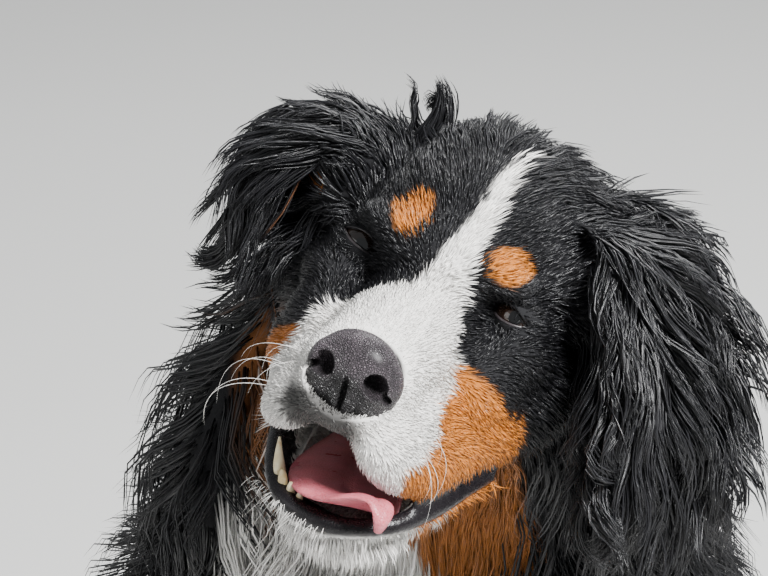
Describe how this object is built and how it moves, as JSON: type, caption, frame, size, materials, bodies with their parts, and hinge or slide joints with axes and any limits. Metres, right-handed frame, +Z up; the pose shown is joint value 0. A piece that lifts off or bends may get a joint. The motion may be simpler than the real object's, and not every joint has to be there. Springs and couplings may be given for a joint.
{
  "type": "bernese mountain dog",
  "caption": "Sitting long-coated tricolour mountain dog with its head tilted and mouth open, a still life-size figure.",
  "frame": {"origin": "middle of the footprint box on the floor", "axes": "+Z up, -Y the way the body faces, +X the dog's own left"},
  "size_m": [0.5132, 1.0468, 0.8647],
  "materials": {
    "coat_black": "long glossy fur",
    "coat_white": "short soft fur",
    "coat_tan": "short soft fur",
    "nose_leather": "moist pebbled skin",
    "tongue_flesh": "moist",
    "eye": "wet"
  },
  "bodies": {
    "root": {"head": "coat_black", "nose": "nose_leather", "lower_jaw": "coat_white", "tongue": "tongue_flesh", "eye_left": "eye", "eye_right": "eye", "ear_left": "coat_black", "ear_right": "coat_black", "neck": "coat_black", "chest": "coat_black", "rump": "coat_black", "foreleg_left": "coat_tan", "foreleg_right": "coat_tan", "forepaw_left": "coat_white", "forepaw_right": "coat_white", "hindleg_left": "coat_black", "hindleg_right": "coat_black", "hindpaw_left": "coat_white", "hindpaw_right": "coat_white", "tail_root": "coat_black", "tail_plume": "coat_black"}
  },
  "joints": []
}
